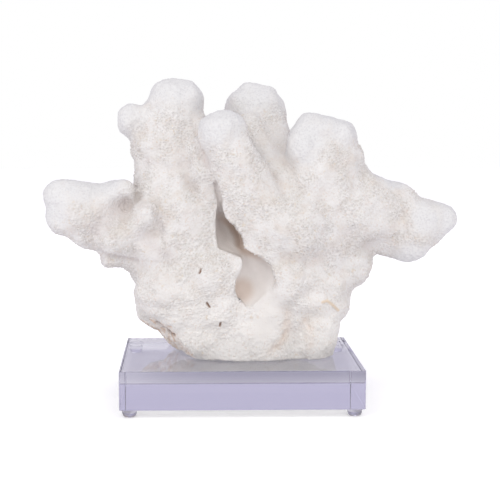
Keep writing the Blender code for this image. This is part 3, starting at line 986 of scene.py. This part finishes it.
# Layers from the lowest: what tells where, from which value to which it sets in, how much of it is
# laid, and its colour
LAYERS = [
    ("mottle", 0.40, 0.62, 1.0, "#DFDCDA"),
    ("stain", 0.52, 0.70, 0.45, "#D9CFC6"),
    ("blush", 0.54, 0.70, 0.35, "#DBD1CD"),
    ("worn", 0.0, 1.0, 0.70, "#EEEBE8"),
    # Painted shade between the cups
    ("gap", 0.0, 1.0, 0.65, "#C6C0B9"),
    ("fleck", 0.60, 0.72, 0.35, "#CDB6A8"),
    ("speck", 0.66, 0.76, 0.40, "#D2C0A6"),
    # Painted shade in the skin's hollows
    ("recess_shade", 0.0, 1.0, 0.45, "#C8BFBA"),
    # Painted shade along the valleys
    ("valley", 0.0, 1.0, 0.35, "#C9C0C0"),
    ("tip", 0.0, 1.0, 0.80, "#DEDEDF"),
    # Painted shade in the tips' pores
    ("pore", 0.0, 0.8, 0.40, "#C4C1C5"),
    ("patch", 0.0, 1.0, 0.60, "#E6E2DE"),
    ("hollow", 0.0, 1.0, 1.0, "#E2DDDA"),
    # Painted shade under the plate's edge, and a stain in the pocket's corner
    ("shade_and_stain_under_edge", 0.0, 1.0, 0.75, "#C9B6A8"),
    ("rim", 0.0, 1.0, 1.0, "#F6EFE9"),
    ("rim_stain", 0.0, 1.0, 0.60, "#DCBDA2"),
    # Painted shade in the rim's cavities
    ("cavity", 0.0, 1.0, 0.9, "#5F3B2B"),
    ("crease", 0.0, 1.0, 0.50, "#D6C1B1"),
    ("worm_tube", 0.0, 1.0, 0.8, "#DAC6AE"),
    # Painted shade in the slits
    ("slit", 0.0, 1.0, 1.0, "#8E6C55"),
]


def coral_skeleton():
    made, tree = finish("aragonite skeleton, bleached")
    place = node(tree, "ShaderNodeTexCoord").outputs["Object"]
    told_by = {}
    for name, (size, detail) in NOISES.items():
        sockets = {"Vector": place, "Scale": 1 / (size * MM), "Detail": detail, "Roughness": 0.55}
        told_by[name] = node(tree, "ShaderNodeTexNoise", sockets).outputs["Fac"]
    for name in MASKS:
        told_by[name] = node(tree, "ShaderNodeAttribute", attribute_name=name).outputs["Fac"]

    colour = linear("#E4E2E1")
    for name, start, end, most, hex_colour in LAYERS:
        sockets = {"Value": told_by[name], 1: start, 2: end, 3: 0.0, 4: most}
        share = node(tree, "ShaderNodeMapRange", sockets).outputs["Result"]
        sockets = {0: share, 6: colour, 7: linear(hex_colour)}
        colour = node(tree, "ShaderNodeMix", sockets, data_type="RGBA").outputs[2]

    # The young tips are smoother, and catch a faint shine
    sockets = {"Value": told_by["tip"], 3: 0.92, 4: 0.74}
    rough = node(tree, "ShaderNodeMapRange", sockets).outputs["Result"]
    # The real grain is about half a millimetre wide; drawn at twice that, or it wouldn't show
    sockets = {"Vector": place, "Scale": 1 / (1.1 * MM), "Detail": 2.0, "Roughness": 0.6}
    grain = node(tree, "ShaderNodeTexNoise", sockets).outputs["Fac"]
    bump = node(tree, "ShaderNodeBump", {"Strength": 0.7, "Distance": 0.45 * MM, "Height": grain})
    sockets = {
        "Base Color": colour,
        "Roughness": rough,
        "Normal": bump.outputs["Normal"],
        "Specular IOR Level": 0.3,
        "IOR": 1.53,
    }
    shader = node(tree, "ShaderNodeBsdfPrincipled", sockets)
    node(tree, "ShaderNodeOutputMaterial", {"Surface": shader.outputs[0]})
    return made


skeleton = coral_skeleton()
for piece in coral:
    piece.data.materials.append(skeleton)
print("nodes in the coral's material:", len(skeleton.node_tree.nodes))

# %% [markdown]
# ## The acrylic block
#
# Display blocks are sawn from cast acrylic sheet, and their edges are eased and polished. A rounded
# outline is carried up a profile that steps in round the top and bottom edges. The large faces stay
# truly flat, because clear plastic shows the smallest swelling of a face in what it reflects.

# %% The block as an outline carried up a profile
EDGE_RADIUS = 0.5
CORNER_RADIUS = 0.8
# Faces below this many square millimetres are shaded smooth, and the large ones flat
SMALL_FACE = 200.0


def rounded_outline(half_x, half_y, radius, steps=8):
    """Counter-clockwise points of a rectangle with round corners: at each corner, its arc's centre
    plus radius * (cos a, sin a) over a quarter turn."""
    quarter = np.linspace(0, np.pi / 2, steps)
    arcs = []
    for turn, (sign_x, sign_y) in enumerate(((1, 1), (-1, 1), (-1, -1), (1, -1))):
        angle = quarter + turn * np.pi / 2
        centre = (sign_x * (half_x - radius), sign_y * (half_y - radius))
        arcs.append(np.array(centre) + radius * np.stack([np.cos(angle), np.sin(angle)], axis=1))
    return np.vstack(arcs)


def tube_faces(grid):
    """The faces of a tube, from its table of point numbers: as for a sheet, but the last column
    joins the first."""
    beside = np.roll(grid, -1, axis=1)
    return np.stack([grid[:-1], beside[:-1], beside[1:], grid[1:]], axis=-1).reshape(-1, 4)


def slab(name, low, high):
    """A box between two corners, with eased edges: the outline is drawn in by r * (1 - cos a) and
    raised by r * (1 - sin a) round a quarter turn at the bottom, and the same at the top."""
    half = (np.array(high) - np.array(low)) / 2
    middle = (np.array(high) + np.array(low)) / 2
    r = EDGE_RADIUS * MM
    angle = np.linspace(np.pi / 2, 0, 6)
    steps_in = r * (1 - np.cos(angle))
    steps_up = r * (1 - np.sin(angle))
    profile = [(inset, low[2] + up) for inset, up in zip(steps_in, steps_up)]
    profile += [(inset, high[2] - up) for inset, up in zip(steps_in[::-1], steps_up[::-1])]
    rings = []
    for inset, height in profile:
        outline = rounded_outline(half[0] - inset, half[1] - inset, CORNER_RADIUS * MM)
        rings.append(np.column_stack([outline + middle[:2], np.full(len(outline), height)]))
    around = len(rings[0])
    grid = np.arange(len(rings) * around).reshape(len(rings), around)
    faces = [*tube_faces(grid).tolist(), grid[0][::-1].tolist(), grid[-1].tolist()]
    mesh = bpy.data.meshes.new(name)
    mesh.from_pydata(np.vstack(rings).tolist(), [], faces)
    areas = np.array([polygon.area for polygon in mesh.polygons])
    mesh.polygons.foreach_set("use_smooth", areas < SMALL_FACE * MM * MM)
    return shown(name, mesh)


block = slab("polished_block", block_low, block_high)
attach(block, "root")
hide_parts("acrylic_block")
print("block:", len(block.data.polygons), "faces")

# %% [markdown]
# ## Turned rubber feet
#
# The feet are moulded domes of clear soft rubber. A profile is turned about its own upright axis: a
# flat underside, a quarter of an ellipse out to the rim, a short wall and a flat top.

# %% The feet as a turned profile
def turned(name, profile, centre, around=48):
    """Points (r cos u, r sin u, z) for each r and z of the profile; the ends lie on the axis and
    close the shape with a fan."""
    radius, height = np.array(profile[1:-1], float).T
    turn = np.linspace(0, 2 * np.pi, around, endpoint=False)
    rings = np.stack(
        [
            radius[:, None] * np.cos(turn),
            radius[:, None] * np.sin(turn),
            np.repeat(height[:, None], around, axis=1),
        ],
        axis=-1,
    )
    count = len(radius)
    grid = np.arange(count * around).reshape(count, around)
    beside = np.roll(grid, -1, axis=1)
    bottom, top = count * around, count * around + 1
    faces = tube_faces(grid).tolist()
    faces += np.stack([np.full(around, bottom), beside[0], grid[0]], axis=1).tolist()
    faces += np.stack([np.full(around, top), grid[-1], beside[-1]], axis=1).tolist()
    poles = [(0, 0, profile[0][1]), (0, 0, profile[-1][1])]
    points = np.vstack([rings.reshape(-1, 3), poles]) + centre
    mesh = bpy.data.meshes.new(name)
    mesh.from_pydata(points.tolist(), [], faces)
    mesh.polygons.foreach_set("use_smooth", np.ones(len(mesh.polygons), bool))
    return shown(name, mesh)


FOOT_FLAT = 3.75


def dome_profile(radius, height):
    """From the middle of the underside to the middle of the top, in metres."""
    flat, wall = FOOT_FLAT * MM, 0.6 * MM
    angle = np.linspace(0, np.pi / 2, 12)
    across = flat + (radius - flat) * np.sin(angle)
    up = (height - wall) * (1 - np.cos(angle))
    inner = [(0, 0), (0.5 * flat, 0), (0.97 * flat, 0)]
    corner = [(radius, height - 0.2 * MM), (radius - 0.2 * MM, height)]
    return [*inner, *zip(across, up), *corner, (0.5 * radius, height), (0, height)]


FEET = ("foot_front_left", "foot_front_right", "foot_back_left", "foot_back_right")
feet = []
for name in FEET:
    low, high = (np.array(corner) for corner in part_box(name))
    centre = np.array([(low[0] + high[0]) / 2, (low[1] + high[1]) / 2, low[2]])
    profile = dome_profile((high[0] - low[0]) / 2, high[2] - low[2])
    foot = turned(name.replace("foot", "domed_foot"), profile, centre)
    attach(foot, "root")
    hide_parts(name)
    feet.append(foot)
print("feet:", [foot.name for foot in feet])

# %% [markdown]
# ## Clear acrylic and clear rubber
#
# Cast acrylic bends light by 1.49 and takes a little of it on the way. In a thick block that shows
# as a faint lavender grey, so the colour comes from absorption inside the block and its faces stay
# clear. The rubber is softer and slightly frosted from its mould.

# %% Materials of the stand
def clear_plastic(name, ior, roughness, tint, taken, density):
    """Plain transmission, with light absorbed along its way through."""
    made, tree = finish(name)
    sockets = {
        "Base Color": linear(tint),
        "Roughness": roughness,
        "IOR": ior,
        "Transmission Weight": 1.0,
    }
    shader = node(tree, "ShaderNodeBsdfPrincipled", sockets)
    inside = node(tree, "ShaderNodeVolumeAbsorption", {"Color": linear(taken), "Density": density})
    sockets = {"Surface": shader.outputs[0], "Volume": inside.outputs[0]}
    node(tree, "ShaderNodeOutputMaterial", sockets)
    return made


acrylic = clear_plastic("cast acrylic, polished", 1.49, 0.01, "#FFFFFF", "#B8B3D5", 2.4)
rubber = clear_plastic("clear polyurethane rubber, moulded", 1.50, 0.18, "#F2F1F6", "#A9A6BC", 40.0)
block.data.materials.append(acrylic)
for foot in feet:
    foot.data.materials.append(rubber)
print("materials:", acrylic.name, "and", rubber.name)

# %% [markdown]
# ## Floor, light and camera
#
# A pale paper sweep and an even sky give the soft light of a product photograph. The sky is bright
# from the front and fades to a cool lavender behind, which shades the knobs' sides; straight behind
# the stand the sweep rises, and is lighter. The camera sees floor and sky as pure white, as a
# cut-out picture has them, but the block reflects their other tones, among them a painted shadow of
# the stand on the floor behind it. One large lamp, high on the left in front, gives the knobs their
# form, and one behind keeps the back from going dull. The paper is given a faint glow, painted light
# which lights the coral from below. The camera stands a metre away, a little above the coral, and
# looks down by under 7 degrees.

# %% Floor, lights and camera
# SHADE_TONE is the colour of the stand's painted shadow on the floor
FLOOR_TONE, SHADE_TONE = "#FBFAFC", "#9A97A9"
# Four metres each way, with lines that get denser towards the middle: 4 * t cubed
reach = 4 * np.linspace(-1, 1, 161) ** 3
floor_x, floor_y = (side.ravel() for side in np.meshgrid(reach, reach))
grid = np.arange(floor_x.size).reshape(len(reach), -1)
floor_points = np.column_stack([floor_x, floor_y, 0 * floor_x])
floor = shown("floor", mesh_of("floor", floor_points, sheet_faces(grid)))
# A painted shadow of the stand on the floor behind it, seen by all rays but the camera's: exp of
# minus the fourth powers of x and y over its half widths
SHADE_MIDDLE, SHADE_HALF = (0.02, 0.19), (0.16, 0.09)
shade_x = (floor_x - SHADE_MIDDLE[0]) / SHADE_HALF[0]
shade_y = (floor_y - SHADE_MIDDLE[1]) / SHADE_HALF[1]
shade = np.exp(-(shade_x**4) - shade_y**4)
shade_layer = floor.data.attributes.new("shade", "FLOAT", "POINT")
shade_layer.data.foreach_set("value", shade.astype(np.float32))
paint, tree = finish("matte paper sweep")
seen = node(tree, "ShaderNodeLightPath").outputs["Is Camera Ray"]
fibre = node(tree, "ShaderNodeTexNoise", {"Scale": 300.0, "Detail": 2.0}).outputs["Fac"]
sockets = {0: fibre, 6: linear("#F8F8F8"), 7: linear("#FCFCFC")}
pale = node(tree, "ShaderNodeMix", sockets, data_type="RGBA").outputs[2]
shade = node(tree, "ShaderNodeAttribute", attribute_name="shade").outputs["Fac"]
# The floor's tone with the stand's painted shadow, for all rays but the camera's
sockets = {0: shade, 6: linear(FLOOR_TONE), 7: linear(SHADE_TONE)}
true = node(tree, "ShaderNodeMix", sockets, data_type="RGBA").outputs[2]
tone = node(tree, "ShaderNodeMix", {0: seen, 6: true, 7: pale}, data_type="RGBA").outputs[2]
# The paper glows: 0.30 to the camera, which keeps it evenly white, and 0.10 to all other rays,
# painted light that lights the coral from below
glow = node(tree, "ShaderNodeMath", {0: seen, 1: 0.20, 2: 0.10}, operation="MULTIPLY_ADD").outputs[0]
sockets = {
    "Base Color": tone,
    "Roughness": 0.9,
    "Emission Color": linear("#FFFFFF"),
    "Emission Strength": glow,
}
shader = node(tree, "ShaderNodeBsdfPrincipled", sockets)
node(tree, "ShaderNodeOutputMaterial", {"Surface": shader.outputs[0]})
floor.data.materials.append(paint)

SKY_LIGHT, SKY_SLOPE, SWEEP_LIGHT = 0.92, 0.53, 0.43
FROM = Vector((-0.03, -0.99, -0.08)).normalized()
sky = bpy.data.worlds.new("white sky")
sky.use_nodes = True
tree = sky.node_tree
tree.nodes.clear()
way = node(tree, "ShaderNodeTexCoord").outputs["Generated"]
sockets = {0: way, 1: FROM}
towards = node(tree, "ShaderNodeVectorMath", sockets, operation="DOT_PRODUCT").outputs["Value"]
sockets = {"Value": towards, 1: -1.0, 2: 1.0, 3: SKY_LIGHT - SKY_SLOPE, 4: SKY_LIGHT + SKY_SLOPE}
slope = node(tree, "ShaderNodeMapRange", sockets).outputs["Result"]
sockets = {0: way, 1: (0, 1, 0)}
straight = node(tree, "ShaderNodeVectorMath", sockets, operation="DOT_PRODUCT").outputs["Value"]
sockets = {"Value": straight, 1: 0.80, 2: 0.96, 4: SWEEP_LIGHT}
sweep = node(tree, "ShaderNodeMapRange", sockets).outputs["Result"]
strength = node(tree, "ShaderNodeMath", {0: slope, 1: sweep}, operation="ADD").outputs[0]
share = node(tree, "ShaderNodeMapRange", {"Value": towards, 1: -1.0, 2: 0.6}).outputs["Result"]
sockets = {0: share, 6: linear("#DAD6EE"), 7: linear("#FFFEFC")}
tint = node(tree, "ShaderNodeMix", sockets, data_type="RGBA").outputs[2]
around = node(tree, "ShaderNodeBackground", {"Color": tint, "Strength": strength}).outputs[0]
sockets = {"Color": linear("#FFFFFF"), "Strength": 1.0}
behind = node(tree, "ShaderNodeBackground", sockets).outputs[0]
seen = node(tree, "ShaderNodeLightPath").outputs["Is Camera Ray"]
both = node(tree, "ShaderNodeMixShader", {0: seen, 1: around, 2: behind})
node(tree, "ShaderNodeOutputWorld", {"Surface": both.outputs[0]})
bpy.context.scene.world = sky


def softbox(name, place, aim, size, watts):
    """A square lamp at a place in metres that faces another place."""
    lamp = bpy.data.lights.new(name, "AREA")
    lamp.size = size
    lamp.energy = watts
    made = bpy.data.objects.new(name, lamp)
    made.location = place
    made.rotation_euler = (Vector(aim) - Vector(place)).to_track_quat("-Z", "Y").to_euler()
    bpy.context.scene.collection.objects.link(made)


softbox("key", (-0.9, -1.0, 1.35), (0, 0, 0.15), 0.7, 3.3)
softbox("fill", (0.4, 1.5, 1.1), (0, 0, 0.15), 0.9, 3.5)

CAMERA_PLACE = (-41.5, -1070.6, 212.9)
CAMERA_RIGHT, CAMERA_DOWN = 1.33, 6.54
CAMERA_LENS = 90.47
CAMERA_SHIFT = 0.06

lens = bpy.data.cameras.new("camera")
lens.lens = CAMERA_LENS
lens.sensor_width = 36.0
lens.shift_x = CAMERA_SHIFT
camera = bpy.data.objects.new("camera", lens)
camera.location = placed(CAMERA_PLACE)
camera.rotation_euler = (math.radians(90 - CAMERA_DOWN), 0, math.radians(-CAMERA_RIGHT))
bpy.context.scene.collection.objects.link(camera)
bpy.context.scene.camera = camera
bpy.context.scene.view_settings.view_transform = "Standard"
print("camera at", np.round(camera.location, 3))
